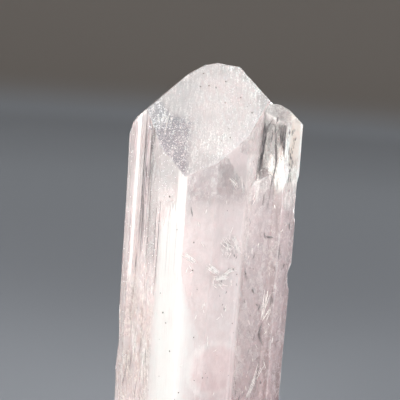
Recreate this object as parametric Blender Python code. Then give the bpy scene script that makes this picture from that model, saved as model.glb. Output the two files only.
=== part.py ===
"""A danburite crystal that grew as one piece: a tall prism under a roof of sloping faces, with two
lower crystals and four thin ribs grown onto it in parallel. It stands on the flat end where it was
broken off the rock. Right is +X, the back is +Y, and the crystal's long axis is +Z. The origin is
in the middle of the foot, under the middle of the whole crystal."""

import math

import bmesh
import bpy
from mathutils import Matrix, Vector, noise

NAME = "danburite_crystal"
MM = 0.001

# Danburite's cell edges in angstroms. They fix the slope of every face, whatever the crystal's size
CELL_A = 8.038
CELL_B = 8.752
CELL_C = 7.730

# The whole crystal, from the broken end to the ridge of the roof
HEIGHT = 64.0 * MM

# The prism narrows towards its foot: most side faces lean by the first angle, and the left front
# face, which widens downwards, by the second
TAPER = math.radians(0.55)
LEFT_FRONT_TAPER = math.radians(1.5)

# The main crystal's axis runs up through the middle of its ridge. It is where the places below are
# measured from, and stands behind the middle of the whole crystal by the second value
MAIN_AXIS = (0.0, 0.0)
AXIS_BEHIND_MIDDLE = 4.27 * MM

# Each side face by its indices (h, k), with its distance from the axis at the height of the ridge
MAIN_SIDES = {
    (-1, -1): 14.6 * MM,
    (-2, -1): 12.2 * MM,
    (-1, 0): 12.3 * MM,
    (-1, 1): 10.1 * MM,
    (0, 1): 8.6 * MM,
    (1, 1): 9.2 * MM,
    (1, 0): 10.8 * MM,
    (2, -1): 8.7 * MM,
    (1, -1): 10.6 * MM,
    (1, -2): 13.4 * MM,
}

# Each roof face by its indices (h, k, l), with its height above the ridge where it meets the axis
MAIN_ROOF = {
    (0, -1, 1): 0.0 * MM,
    (0, 1, 1): 0.0 * MM,
    (-1, 0, 4): 0.12 * MM,
    (-2, 0, 3): 1.0 * MM,
    (1, 0, 10): -0.05 * MM,
    (-1, 0, 1): 2.45 * MM,
    (1, 0, 1): 2.35 * MM,
    (-3, 0, 2): 7.8 * MM,
    (-4, 0, 1): 36.0 * MM,
    (1, 1, 1): 6.4 * MM,
    (-1, 2, 2): 7.4 * MM,
}

# The crystals grown onto the right side, each with its axis and the drop from the main ridge to
# its own: a lower one at the edge, and a third that fills most of the groove between the two
LOWER_AXIS = (8.6 * MM, -4.8 * MM)
LOWER_DROP = 5.0 * MM
LOWER_SIDES = {
    (-1, -2): 2.1 * MM,
    (1, -1): 3.1 * MM,
    (1, 0): 3.7 * MM,
    (1, 1): 5.0 * MM,
    (0, 1): 6.0 * MM,
    (-1, 0): 6.0 * MM,
}
LOWER_ROOF = {
    (0, -1, 1): 0.0 * MM,
    (0, 1, 1): 0.0 * MM,
    (1, 0, 2): 0.0 * MM,
    (1, 0, 1): 0.75 * MM,
}
GROOVE_AXIS = (7.3 * MM, -6.4 * MM)
GROOVE_DROP = 14.0 * MM
GROOVE_SIDES = {
    (1, -2): 1.35 * MM,
    (1, 0): 3.0 * MM,
    (0, 1): 3.0 * MM,
    (-1, 0): 4.0 * MM,
}
GROOVE_ROOF = {
    (0, -1, 1): 0.0 * MM,
    (0, 1, 1): 0.0 * MM,
    (1, 0, 1): 0.0 * MM,
    (-2, 0, 1): 1.0 * MM,
}

# Thin ribs on the side faces: the face that each rib runs down with the face on either side, its
# place along X, how far it stands proud of the face, and how much lower than the roof it ends
RIBS = (
    (((-1, 0), (-2, -1), (-1, -1)), -10.9 * MM, 0.40 * MM, 0.3 * MM),
    (((-1, 0), (-2, -1), (-1, -1)), -9.1 * MM, 0.28 * MM, 0.9 * MM),
    (((-1, 0), (-1, 1), (0, 1)), -9.4 * MM, 0.34 * MM, 1.1 * MM),
    (((0, 1), (1, 1), (1, 0)), 7.3 * MM, 0.38 * MM, 0.7 * MM),
)
RIB_ROOT = 1.2 * MM

# Shell-shaped chips: centre and radii, in millimetres. The first two nick the right edge, the
# third thins the left edge at half height, and the others break up the rim of the foot
CHIPS_MM = (
    ((14.1, -4.6, 46.0), (2.7, 3.6, 5.2)),
    ((14.3, -3.8, 34.7), (3.1, 3.8, 3.5)),
    ((-15.6, -1.6, 23.0), (4.0, 7.0, 19.0)),
    ((-13.4, 1.0, 1.2), (3.2, 5.5, 3.6)),
    ((-4.6, -16.9, 0.6), (5.0, 3.0, 2.6)),
    ((9.2, -10.4, 1.0), (4.2, 3.4, 4.0)),
    ((5.4, 10.0, 0.8), (5.5, 3.0, 3.2)),
)
CHIP_SUBDIVISIONS = 3

# How far a chip's surface swells and dips, as a share of its radius, and how quickly
CHIP_SWELL = 0.16
CHIP_SWELL_PITCH = 1.4

# The block that each crystal is trimmed from reaches this far on every side and above the ridge
BLOCK_REACH = 40.0 * MM
CUT_TOLERANCE = 1e-7


def face_normal(h, k, l):
    """The direction square to the crystal face with these indices."""
    return Vector((h / CELL_A, k / CELL_B, l / CELL_C)).normalized()


def side_planes(axis, sides, tapers=None):
    """A plane for each side face, as its outward normal and a point on it."""
    planes = []
    for (h, k), distance in sides.items():
        flat = face_normal(h, k, 0)
        point = Vector((*axis, HEIGHT)) + flat * distance
        taper = (tapers or {}).get((h, k), TAPER)
        leaning = flat - Vector((0.0, 0.0, math.tan(taper)))
        planes.append((leaning.normalized(), point))
    return planes


def roof_planes(axis, ridge, roof):
    """A plane for each roof face, as its outward normal and the point where it meets the axis."""
    return [
        (face_normal(h, k, l), Vector((*axis, ridge + above)))
        for (h, k, l), above in roof.items()
    ]


def trimmed_block(planes):
    """A block standing on the ground, with everything outside each plane cut away."""
    solid = bmesh.new()
    top = HEIGHT + BLOCK_REACH
    size = Matrix.Diagonal((2 * BLOCK_REACH, 2 * BLOCK_REACH, top, 1.0))
    bmesh.ops.create_cube(solid, size=1.0, matrix=Matrix.Translation((0, 0, top / 2)) @ size)
    for normal, point in planes:
        cut = bmesh.ops.bisect_plane(
            solid,
            geom=solid.verts[:] + solid.edges[:] + solid.faces[:],
            dist=CUT_TOLERANCE,
            plane_co=point,
            plane_no=normal,
            clear_outer=True,
        )
        rim = [part for part in cut["geom_cut"] if isinstance(part, bmesh.types.BMEdge)]
        bmesh.ops.holes_fill(solid, edges=rim)
    bmesh.ops.recalc_face_normals(solid, faces=solid.faces)
    return solid


def add_object(name, solid, collection):
    """Turn the finished shape into an object in the collection."""
    mesh = bpy.data.meshes.new(name)
    solid.to_mesh(mesh)
    solid.free()
    made = bpy.data.objects.new(name, mesh)
    collection.objects.link(made)
    return made


def main_crystal(collection):
    sides = side_planes(MAIN_AXIS, MAIN_SIDES, {(-1, -1): LEFT_FRONT_TAPER})
    roof = roof_planes(MAIN_AXIS, HEIGHT, MAIN_ROOF)
    return add_object(NAME, trimmed_block(sides + roof), collection)


def lower_crystal(collection):
    sides = side_planes(LOWER_AXIS, LOWER_SIDES)
    roof = roof_planes(LOWER_AXIS, HEIGHT - LOWER_DROP, LOWER_ROOF)
    return add_object("lower_crystal", trimmed_block(sides + roof), collection)


def groove_crystal(collection):
    sides = side_planes(GROOVE_AXIS, GROOVE_SIDES)
    roof = roof_planes(GROOVE_AXIS, HEIGHT - GROOVE_DROP, GROOVE_ROOF)
    return add_object("groove_crystal", trimmed_block(sides + roof), collection)


def rib(number, faces, x, proud, drop, collection):
    """A thin rib with its back sunk in the side face that it runs down."""
    flat = face_normal(*faces[1], 0)
    y = (MAIN_SIDES[faces[1]] - flat.x * x) / flat.y
    front = {indices: proud for indices in faces}
    root = {(-h, -k): RIB_ROOT for h, k in faces}
    follow_face = {indices: -TAPER for indices in root}
    planes = side_planes((x, y), front | root, follow_face)
    planes += roof_planes(MAIN_AXIS, HEIGHT - drop, MAIN_ROOF)
    return add_object(f"rib_{number}", trimmed_block(planes), collection)


def chip(number, centre, radii, collection):
    """A rounded cutter that leaves a shell-shaped hollow."""
    solid = bmesh.new()
    bmesh.ops.create_icosphere(solid, subdivisions=CHIP_SUBDIVISIONS, radius=1.0)
    for point in solid.verts:
        swell = noise.noise(point.co * CHIP_SWELL_PITCH + Vector(centre))
        point.co *= 1.0 + CHIP_SWELL * swell
    size = Matrix.Diagonal((*(Vector(radii) * MM), 1.0))
    solid.transform(Matrix.Translation(Vector(centre) * MM) @ size)
    return add_object(f"chip_{number}", solid, collection)


def combine(crystal, tool, operation):
    """Join the tool to the crystal, or cut it away, and hide the tool."""
    tool.parent = crystal
    step = crystal.modifiers.new(f"{operation.lower()} {tool.name}", "BOOLEAN")
    step.operation = operation
    step.solver = "EXACT"
    step.object = tool
    tool.hide_render = True
    tool.display_type = "WIRE"


def pale_pink_crystal():
    material = bpy.data.materials.new("pale_pink_danburite")
    material.use_nodes = True
    shader = material.node_tree.nodes["Principled BSDF"]
    shader.inputs["Base Color"].default_value = (0.84, 0.74, 0.74, 1.0)
    shader.inputs["Roughness"].default_value = 0.12
    shader.inputs["Metallic"].default_value = 0.0
    shader.inputs["IOR"].default_value = 1.63
    shader.inputs["Transmission Weight"].default_value = 0.8
    return material


def new_collection(name):
    collection = bpy.data.collections.new(name)
    bpy.context.scene.collection.children.link(collection)
    return collection


def build():
    for old in list(bpy.data.objects):
        bpy.data.objects.remove(old)
    parts = new_collection(NAME)
    tools = new_collection("growth_and_chips")
    crystal = main_crystal(parts)
    crystal.data.materials.append(pale_pink_crystal())
    crystal.location.y = AXIS_BEHIND_MIDDLE
    combine(crystal, lower_crystal(tools), "UNION")
    combine(crystal, groove_crystal(tools), "UNION")
    for number, growth in enumerate(RIBS, start=1):
        combine(crystal, rib(number, *growth, tools), "UNION")
    for number, (centre, radii) in enumerate(CHIPS_MM, start=1):
        combine(crystal, chip(number, centre, radii, tools), "DIFFERENCE")


build()
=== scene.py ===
# %% [markdown]
# # A pale pink danburite crystal
#
# This lesson gives a measured crystal its looks. The frame holds the crystal as one plain faceted
# solid. We keep its shape and size, and add what the eye sees on a real one: growth lines down the
# sides, frosted and polished patches, milky clouds, and the threads, cracks and grains sealed in it.

# %% Load the frame and note its size
import math
import random

import bpy
from mathutils import Matrix, Vector


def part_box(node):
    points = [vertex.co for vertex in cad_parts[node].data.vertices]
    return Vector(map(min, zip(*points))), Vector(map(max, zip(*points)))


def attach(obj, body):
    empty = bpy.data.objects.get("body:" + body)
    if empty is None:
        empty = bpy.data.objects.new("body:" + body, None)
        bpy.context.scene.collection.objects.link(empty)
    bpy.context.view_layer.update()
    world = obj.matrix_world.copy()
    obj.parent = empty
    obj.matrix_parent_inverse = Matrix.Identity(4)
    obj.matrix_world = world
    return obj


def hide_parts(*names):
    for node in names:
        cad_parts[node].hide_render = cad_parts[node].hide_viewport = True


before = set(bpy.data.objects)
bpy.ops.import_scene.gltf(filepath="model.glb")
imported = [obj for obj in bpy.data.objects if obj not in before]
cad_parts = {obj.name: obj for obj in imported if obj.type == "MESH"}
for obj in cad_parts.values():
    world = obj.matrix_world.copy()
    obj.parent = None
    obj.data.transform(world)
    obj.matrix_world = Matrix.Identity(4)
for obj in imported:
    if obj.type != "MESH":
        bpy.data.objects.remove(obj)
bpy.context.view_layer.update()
MM = 0.001
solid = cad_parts["danburite_crystal"]
low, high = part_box("danburite_crystal")
print("the crystal is", [round(side / MM, 1) for side in high - low], "mm")

# %% [markdown]
# ## Camera
#
# The photograph looks at the crystal from straight in front and a little above, through a long lens.
# There the crystal leans a few degrees. We roll the camera by that angle instead, so that the crystal
# itself can stand. A camera looks along its own -Z, so its rotation is built from three directions:
# its right, its up, and backwards.

# %% Place the camera
LOOKED_AT = Vector((-1.5, 2.27, 44.4)) * MM
CAMERA_DISTANCE = 220 * MM
CAMERA_ELEVATION = math.radians(6.0)
CAMERA_ROLL = math.radians(4.2)
LENS_MM = 138.6

backwards = Vector((0, -math.cos(CAMERA_ELEVATION), math.sin(CAMERA_ELEVATION)))
level_right = Vector((1, 0, 0))
level_up = backwards.cross(level_right)
camera_right = math.cos(CAMERA_ROLL) * level_right + math.sin(CAMERA_ROLL) * level_up
camera_up = backwards.cross(camera_right)
bpy.ops.object.camera_add()
camera = bpy.context.object
camera.name = "camera"
camera.data.lens = LENS_MM
camera.data.clip_start = 10 * MM
camera.matrix_world = Matrix.LocRotScale(
    LOOKED_AT + backwards * CAMERA_DISTANCE,
    Matrix((camera_right, camera_up, backwards)).transposed(),
    None,
)
bpy.context.scene.camera = camera
print("the camera is", round(camera.location.length / MM), "mm from the foot")

# %% [markdown]
# ## Shader maths as expressions
#
# A material is a tree of nodes, and sums written as nodes are hard to read. `Value` wraps one socket,
# so that `1 - mask * 0.5` adds the Math nodes by itself. `Finish` holds a material and has one
# method that makes any other node: its settings are set first, then its inputs.

# %% A socket that can be added and multiplied
class Value:
    """The number that comes out of a socket."""

    def __init__(self, finish, socket):
        self.finish = finish
        self.socket = socket

    def sum(self, operation, *others):
        return self.finish.node(
            "ShaderNodeMath",
            {"operation": operation},
            dict(enumerate((self, *others))),
        )

    def __add__(self, other):
        return self.sum("ADD", other)

    def __sub__(self, other):
        return self.sum("SUBTRACT", other)

    def __mul__(self, other):
        return self.sum("MULTIPLY", other)

    def __truediv__(self, other):
        return self.sum("DIVIDE", other)

    def __rsub__(self, other):
        return self.finish.number(other) - self

    __radd__ = __add__
    __rmul__ = __mul__

    def most(self, *others):
        """The largest of this value and the others."""
        largest = self
        for other in others:
            largest = largest.sum("MAXIMUM", other)
        return largest

    def least(self, other):
        return self.sum("MINIMUM", other)

    def size(self):
        return self.sum("ABSOLUTE")

    def share(self):
        """The same value, kept between 0 and 1."""
        return self.most(0.0).least(1.0)

    def rise(self, start, end):
        """0 before start and 1 after end, with a soft step between. Swap them for a fall."""
        if start > end:
            return 1 - self.rise(end, start)
        return self.finish.node(
            "ShaderNodeMapRange",
            {"interpolation_type": "SMOOTHSTEP"},
            {"Value": self, "From Min": start, "From Max": end},
        )


# %% A material and its one way of making nodes
class Finish:
    """A material that is being built, with the place on the piece in millimetres. A colour is given
    as red, green and blue."""

    def __init__(self, name):
        self.material = bpy.data.materials.new(name)
        self.material.use_nodes = True
        self.tree = self.material.node_tree
        self.tree.nodes.clear()
        metres = self.node("ShaderNodeTexCoord", out="Object")
        self.place = self.vector("SCALE", metres, Scale=1 / MM)
        self.x, self.y, self.z = self.axes(self.place)

    def node(self, kind, settings=None, inputs=None, out=0):
        made = self.tree.nodes.new(kind)
        for name, setting in (settings or {}).items():
            setattr(made, name, setting)
        for name, value in (inputs or {}).items():
            socket = made.inputs[name]
            if isinstance(value, Value):
                self.tree.links.new(value.socket, socket)
            else:
                socket.default_value = (*value, 1.0) if socket.type == "RGBA" else value
        return Value(self, made.outputs[out])

    def number(self, value):
        made = self.node("ShaderNodeValue")
        made.socket.default_value = value
        return made

    def vector(self, operation, *vectors, out=0, **inputs):
        sockets = dict(enumerate(vectors)) | inputs
        return self.node("ShaderNodeVectorMath", {"operation": operation}, sockets, out)

    def axes(self, vector):
        return [
            self.node("ShaderNodeSeparateXYZ", {}, {"Vector": vector}, out=axis) for axis in "XYZ"
        ]

    def blend(self, share, first, second):
        """The first colour where share is 0, and the second where it is 1."""
        settings = {"data_type": "RGBA", "clamp_factor": True}
        return self.node("ShaderNodeMix", settings, {0: share, 6: first, 7: second}, out=2)

    def bump(self, height, depth_mm):
        """The direction of a surface that this height pattern dents."""
        return self.node(
            "ShaderNodeBump", {}, {"Height": height, "Strength": 1.0, "Distance": depth_mm * MM}
        )

    def principled(self, **inputs):
        named = {name.replace("_", " "): value for name, value in inputs.items()}
        return self.node("ShaderNodeBsdfPrincipled", {}, named)

    def mix_shaders(self, share, first, second):
        return self.node("ShaderNodeMixShader", {}, {0: share, 1: first, 2: second})

    def count(self, made):
        """Print how large the material has grown."""
        print("with", made, "the finish has", len(self.tree.nodes), "nodes")

    def finish(self, shader, volume=None):
        output = self.tree.nodes.new("ShaderNodeOutputMaterial")
        self.tree.links.new(shader.socket, output.inputs["Surface"])
        if volume:
            self.tree.links.new(volume.socket, output.inputs["Volume"])
        print("finished", self.material.name, "with", len(self.tree.nodes), "nodes")
        return self.material


# %% [markdown]
# ## Patterns a crystal needs
#
# Natural stone has two kinds of pattern. Drifting clouds and streaks come from noise, squeezed or
# drawn out along the direction in which the crystal grew. Single marks, such as one white band, sit
# at a known place, so each gets a mask that is 1 on the mark and 0 elsewhere. All lengths are in
# millimetres, measured on the crystal, so every pattern keeps its place from any side.

# %% Noise and marks
class Stone(Finish):
    """A finish with the patterns of a grown crystal."""

    def stretched(self, x, y, z, shift=0.0):
        """The place, with each axis scaled, so that a pattern on it is drawn out along one. Another
        shift gives another pattern of the same kind."""
        return self.vector("MULTIPLY_ADD", self.place, (x, y, z), (shift, shift, shift))

    def clouds(self, place, fineness, detail=3.0, roughness=0.5):
        """Soft noise from about 0.25 to 0.75, with this many bumps a millimetre."""
        return self.node(
            "ShaderNodeTexNoise",
            {"noise_dimensions": "3D"},
            {"Vector": place, "Scale": fineness, "Detail": detail, "Roughness": roughness},
        )

    def streak(self, x, half_width, bottom, top, wander=0.0, lean=0.0):
        """1 along an upright line at this x, with soft sides and ends. It may wander or lean."""
        side = self.x - x
        if lean:
            side = side - (self.z - (bottom + top) / 2) * lean
        if wander:
            side = side + (self.clouds(self.stretched(0, 0, 0.25), 1.0) - 0.5) * (2 * wander)
        across = side.size().rise(half_width * 1.4, half_width * 0.6)
        return across * self.z.rise(bottom - 1, bottom + 1) * self.z.rise(top + 0.5, top - 0.5)

    def patch(self, x, z, across, up, torn, tears):
        """1 inside an oval at this x and z with these half sizes, with an edge torn by noise."""
        sideways = (self.x - x) / across
        upwards = (self.z - z) / up
        distance = sideways * sideways + upwards * upwards + (tears - 0.5) * torn
        return distance.rise(1.4, 0.6)

    def under(self, start, end, soft):
        """1 below the line through two places, each an x and a height."""
        slope = (end[1] - start[1]) / (end[0] - start[0])
        above = self.z - (self.x - start[0]) * slope - start[1]
        return above.rise(soft, -soft)

    def let_lamps_through(self, shader):
        """Shadow rays pass straight through, so that lamps reach what is sealed inside."""
        shadow = self.node("ShaderNodeLightPath", out="Is Shadow Ray")
        clear = self.node("ShaderNodeBsdfTransparent")
        return self.mix_shaders(shadow, shader, clear)


def cover(piece, material):
    """Give the piece this one material."""
    piece.data.materials.clear()
    piece.data.materials.append(material)


# %% [markdown]
# ## The crystal's skin
#
# The skin is the outer surface of the stone. We copy the frame's solid and join its loose triangles.
# A grown crystal's edges are never razor sharp, so the long ones get a bevel a tenth of a millimetre
# wide, which catches the light as a thin bright line. A modelling tool cannot bevel just the long
# edges by angle, so we let it select the sharp ones and then drop the short ones in code. Its width
# isn't clamped, because then the narrowest face would thin every bevel. The price is that a few
# narrow strips fold where two bevels meet.

# %% Helpers that work on one piece at a time
JOIN_DISTANCE = 0.002 * MM
FLAT_ANGLE = math.radians(0.2)


def take(piece):
    """Make this the only selected piece, and the active one."""
    bpy.ops.object.select_all(action="DESELECT")
    piece.select_set(True)
    bpy.context.view_layer.objects.active = piece


def modifier(piece, kind, **settings):
    """Add a modifier with these settings and apply it."""
    step = piece.modifiers.new(kind.lower(), kind)
    for name, setting in settings.items():
        setattr(step, name, setting)
    take(piece)
    bpy.ops.object.modifier_apply(modifier=step.name)


def copy_of(source, name):
    """A copy with its own mesh, its loose triangles joined at their corners."""
    take(source)
    bpy.ops.object.duplicate()
    piece = bpy.context.object
    piece.name = piece.data.name = name
    for key in [key for key in piece.keys() if key.startswith("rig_")]:
        del piece[key]
    bpy.ops.object.mode_set(mode="EDIT")
    bpy.ops.mesh.select_all(action="SELECT")
    bpy.ops.mesh.remove_doubles(threshold=JOIN_DISTANCE)
    bpy.ops.mesh.dissolve_limited(angle_limit=FLAT_ANGLE)
    bpy.ops.object.mode_set(mode="OBJECT")
    return piece


skin = copy_of(solid, "crystal_skin")
heart = copy_of(solid, "milky_heart")
print("the skin starts with", len(skin.data.polygons), "faces")

# %% Soften the long edges
EDGE_WIDTH = 0.10 * MM
SHORTEST_EDGE = 2.5 * MM
SHARP_ANGLE = math.radians(12)


def edge_length(mesh, edge):
    start, end = (mesh.vertices[number].co for number in edge.vertices)
    return (end - start).length


def soften_long_edges(piece, width):
    take(piece)
    bpy.ops.object.mode_set(mode="EDIT")
    bpy.ops.mesh.select_mode(type="EDGE")
    bpy.ops.mesh.select_all(action="DESELECT")
    bpy.ops.mesh.edges_select_sharp(sharpness=SHARP_ANGLE)
    bpy.ops.object.mode_set(mode="OBJECT")
    long_edges = 0
    for edge in piece.data.edges:
        edge.select = edge.select and edge_length(piece.data, edge) > SHORTEST_EDGE
        long_edges += edge.select
    bpy.ops.object.mode_set(mode="EDIT")
    bpy.ops.mesh.bevel(offset=width, segments=2, profile=0.5, clamp_overlap=False)
    bpy.ops.object.mode_set(mode="OBJECT")
    return long_edges


print("softened", soften_long_edges(skin, EDGE_WIDTH), "long edges")

# %% [markdown]
# A flat face with four corners cannot carry fine lines, so we slice the skin by close parallel planes
# along all three axes. The cuts change nothing about its shape. They only add the points that the
# growth lines will move. They lie close together across the prism, and further apart along it,
# because growth lines run down its length.

# %% Slice the skin along all three axes
SLICE_SPACING = Vector((0.25, 0.25, 1.6)) * MM


def slice_evenly(piece, spacing):
    take(piece)
    bpy.ops.object.mode_set(mode="EDIT")
    for axis in range(3):
        direction = Vector([float(axis == other) for other in range(3)])
        count = int((high[axis] - low[axis]) / spacing[axis])
        for number in range(1, count):
            bpy.ops.mesh.select_all(action="SELECT")
            place = low + direction * spacing[axis] * number
            bpy.ops.mesh.bisect(plane_co=place, plane_no=direction)
    bpy.ops.object.mode_set(mode="OBJECT")


slice_evenly(skin, SLICE_SPACING)
print("the sliced skin has", len(skin.data.polygons), "faces")

# %% [markdown]
# A real danburite face is not quite flat: it stopped growing in long shallow steps. We press such
# steps into the skin with a Displace modifier. Its texture is soft noise that is drawn out along the
# prism, and a ramp with many stops turns the noise into terraces. The steps only ever go inwards, so
# the crystal keeps its measured size. The narrow faces at the left and right are ribbed most deeply,
# the broad front faces hardly at all, and the roof has shallow steps that run up its slope. Where
# edges meet in a narrow corner of the chipped foot, the bevel overshoots a little, so at the end every
# point that hangs below the foot is lifted back onto it.

# %% Choose the points that each kind of step moves
STEEP = 0.3
SIDEWAYS = 0.8


def points_facing(piece, name, wanted):
    """A vertex group of every point on a face whose normal passes the test."""
    group = piece.vertex_groups.new(name=name)
    chosen = set()
    for face in piece.data.polygons:
        if wanted(face.normal):
            chosen.update(face.vertices)
    group.add(list(chosen), 1.0, "ADD")
    print(name, "has", len(chosen), "points")
    return group.name


ribbed = points_facing(skin, "ribbed_sides", lambda n: abs(n.z) < STEEP and abs(n.x) > SIDEWAYS)
broad_front = points_facing(
    skin, "broad_front", lambda n: abs(n.z) < STEEP and abs(n.x) <= SIDEWAYS and n.y < 0
)
back_sides = points_facing(
    skin, "back_sides", lambda n: abs(n.z) < STEEP and abs(n.x) <= SIDEWAYS and n.y >= 0
)
long_roof = points_facing(skin, "long_roof", lambda n: n.z >= STEEP and abs(n.y) > abs(n.x))
end_roof = points_facing(skin, "end_roof", lambda n: n.z >= STEEP and abs(n.y) <= abs(n.x))

# %% Press shallow growth steps into a group of points
TERRACE_SHUFFLE = 0.38


def growth_steps(piece, group, width, stretch, depth, terraces):
    """Terraces about this wide and deep, drawn out by the stretch along each axis."""
    noise = bpy.data.textures.new(f"{group}_steps", "CLOUDS")
    noise.noise_scale = 1.0
    noise.noise_depth = 2
    noise.use_color_ramp = True
    ramp = noise.color_ramp
    while len(ramp.elements) < terraces:
        ramp.elements.new(0.5)
    for number, stop in enumerate(ramp.elements):
        stop.position = 0.2 + 0.6 * number / (terraces - 1)
        level = (number * TERRACE_SHUFFLE) % 1.0
        stop.color = (level, level, level, 1.0)
    bpy.ops.object.empty_add()
    guide = bpy.context.object
    guide.scale = Vector(stretch) * width
    modifier(
        piece,
        "DISPLACE",
        texture=noise,
        texture_coords="OBJECT",
        texture_coords_object=guide,
        vertex_group=group,
        mid_level=0.0,
        strength=-depth,
    )
    bpy.data.objects.remove(guide)


growth_steps(skin, ribbed, 1.8 * MM, (1, 1, 30), 0.13 * MM, 9)
growth_steps(skin, broad_front, 2.6 * MM, (1, 1, 22), 0.03 * MM, 7)
growth_steps(skin, back_sides, 2.2 * MM, (1, 1, 26), 0.10 * MM, 9)
growth_steps(skin, long_roof, 1.4 * MM, (1, 14, 14), 0.03 * MM, 6)
growth_steps(skin, end_roof, 1.4 * MM, (14, 1, 14), 0.03 * MM, 6)
hanging = [point for point in skin.data.vertices if point.co.z < low.z]
for point in hanging:
    point.co.z = low.z
print("lifted", len(hanging), "points onto the foot")

# %% Shade the skin, and let it stand for the frame's solid
CREASE = math.radians(13)
take(skin)
bpy.ops.object.shade_smooth_by_angle(angle=CREASE)
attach(skin, "root")
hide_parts("danburite_crystal")
print("the skin has", len(skin.data.vertices), "points")

# %% [markdown]
# ## The skin's finish
#
# The stone is clear, so its base is plain transmission with danburite's own refraction. Under and
# over that lies a milky veil, thick on some faces and missing on others. The finish is a mix of two
# shaders, clear stone and milky stone, and the mix follows the veil. We build the veil in steps:
# first noise for the whole crystal, then one mask for each mark that the photograph shows.

# %% Which way each face looks
look = Stone("danburite_skin")
true_normal = look.node("ShaderNodeNewGeometry", out="True Normal")
facing_x, facing_y, facing_z = look.axes(true_normal)
roof = facing_z.rise(0.3, 0.5)
prism = 1 - roof
broken = facing_z.rise(-0.35, -0.6)
front = facing_y.rise(0.0, -0.2)
front_prism = front * prism
kite = roof * front * look.x.rise(8.2, 7.8)
elsewhere = 1 - front
right_side = front * look.x.rise(4.8, 5.2)
middle = front_prism * facing_x.rise(0.3, 0.4) * look.x.rise(5.0, 4.6)
middle_left = middle * facing_x.rise(0.72, 0.5)
low_cap = roof * front * look.x.rise(7.6, 8.0)
look.count("the faces")

# %% Streaks, flakes, grain and drifting clouds
side_streaks = look.clouds(look.stretched(1, 1, 0.03), 2.4, 4, 0.65)
hair_streaks = look.clouds(look.stretched(1, 1, 0.02), 8.0, 3, 0.6)
glass_streaks = look.clouds(look.stretched(1, 1, 0.12, 17), 2.6, 5, 0.7)
slope_streaks = look.clouds(look.stretched(1, 0.14, 0.14), 2.6, 5, 0.7)
sugar = look.clouds(look.stretched(1, 0.5, 0.5, 9), 6.5, 4, 0.75)
drifts = look.clouds(look.stretched(1, 1, 0.6), 0.22, 4, 0.6)
mottles = look.clouds(look.stretched(1, 1, 0.6), 0.75, 4, 0.65)
flakes = look.clouds(look.stretched(1, 1, 0.5, 13), 1.6, 5, 0.7)
flecks = look.clouds(look.stretched(1, 1, 0.55, 29), 3.4, 4, 0.7)
tears = look.clouds(look.place, 1.1, 4, 0.65)
grains = look.clouds(look.place, 5.0, 4, 0.7)
look.count("the noises")

# %% [markdown]
# The left of the front is a bundle of narrow faces. Each catches the light in its own way, so it
# reads as upright bands: greyish pink, a painted highlight line down an edge, dark threads, frosted
# grey, and then the broad white stripe, which is milky right up to the surface. Lower down the stripe
# drifts to the right over the edge, partly milk and partly a painted highlight, and the narrow faces
# turn beige.

# %% Bands on the left of the front
left = front_prism * look.x.rise(-6.6, -7.2)
# Painted highlight: a thin bright line down an edge of the narrow faces.
left_line_highlight = front_prism * look.streak(-10.6, 0.2, 33, 57.5, 0.06)
seen_flat = front_prism * facing_y.rise(-0.25, -0.4)
dark_band = seen_flat * look.streak(-9.2, 0.85, 38, 57, 0.15)
DARK_LINES = (
    (1.0, (-9.6, 0.10, 41, 57, 0.08)),
    (1.0, (-9.15, 0.13, 37, 56, 0.1)),
    (0.8, (-8.7, 0.08, 39, 57, 0.1)),
    (0.6, (-7.35, 0.06, 35, 44, 0.2)),
    (0.7, (-6.8, 0.07, 34, 45, 0.2)),
    (0.3, (-5.5, 0.06, 35, 44, 0.1)),
    (0.3, (-4.35, 0.06, 36, 43, 0.1)),
)
dark_lines = seen_flat * sum(look.streak(*line) * strength for strength, line in DARK_LINES)
frosted_band = front_prism * look.streak(-7.9, 0.7, 36, 57.5, 0.3)
stripe_end = front_prism * look.streak(-6.3, 2.3, 44.5, 57, 0.1)
pale_frost = front_prism * look.streak(-7.8, 1.1, 31, 43.5, 0.4) * mottles.rise(0.2, 0.45)
beige_zone = left * look.z.rise(37, 30)
look.count("the left bands")

# %% The broad white stripe
# Lower down the stripe reaches past the edge onto the middle: partly milk, partly a painted highlight.
milk_and_highlight_drift = look.z.rise(36.0, 18.0)
frayed = (look.z + (side_streaks - 0.5) * 9).rise(46.5, 41.5)
stripe_left = frayed * -2.1 - 4.5 + (side_streaks - 0.5) * 1.2
stripe_right = look.z.rise(37.0, 26.0) * 2.3 - 3.4 + (mottles - 0.5) * milk_and_highlight_drift * 1.5
stripe = (
    front_prism
    * ((look.x - stripe_left) / (milk_and_highlight_drift * 1.2 + 0.3)).rise(-1.0, 1.0)
    * ((look.x - stripe_right) / (milk_and_highlight_drift * 3.5 + 0.15)).rise(1.0, -1.0)
    * (look.z + (side_streaks - 0.5) * 6).rise(51.0, 47.5)
)
stripe = stripe * (1 - hair_streaks.rise(0.48, 0.66) * (0.4 - milk_and_highlight_drift * 0.2))
look.count("the stripe")

# %% [markdown]
# The large kite-shaped face of the roof is pale, with white sugar strewn up its slope in short broken
# streaks. The sugar is thickest along the right edge, above the lower tip and at the top, and there a
# painted highlight whitens the roof as well. The lower left corner is clear, grey and sprinkled with
# frost, and below the kite a patch of the front is clearer too.

# %% Marks on the roof and below it
corner_edge = look.under((-3.6, 55.9), (-6.2, 56.6), 0.6).most(
    look.under((-6.2, 56.5), (-8.5, 58.6), 0.6)
)
corner = kite * corner_edge * (look.x + (tears - 0.5) * 1.2).rise(-2.9, -4.1)
corner_haze = corner * look.patch(-8.4, 56.6, 1.7, 1.9, 1.6, tears)
corner_line = corner * look.streak(-6.65, 0.08, 54, 58.6, 0.0, 0.15)
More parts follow.
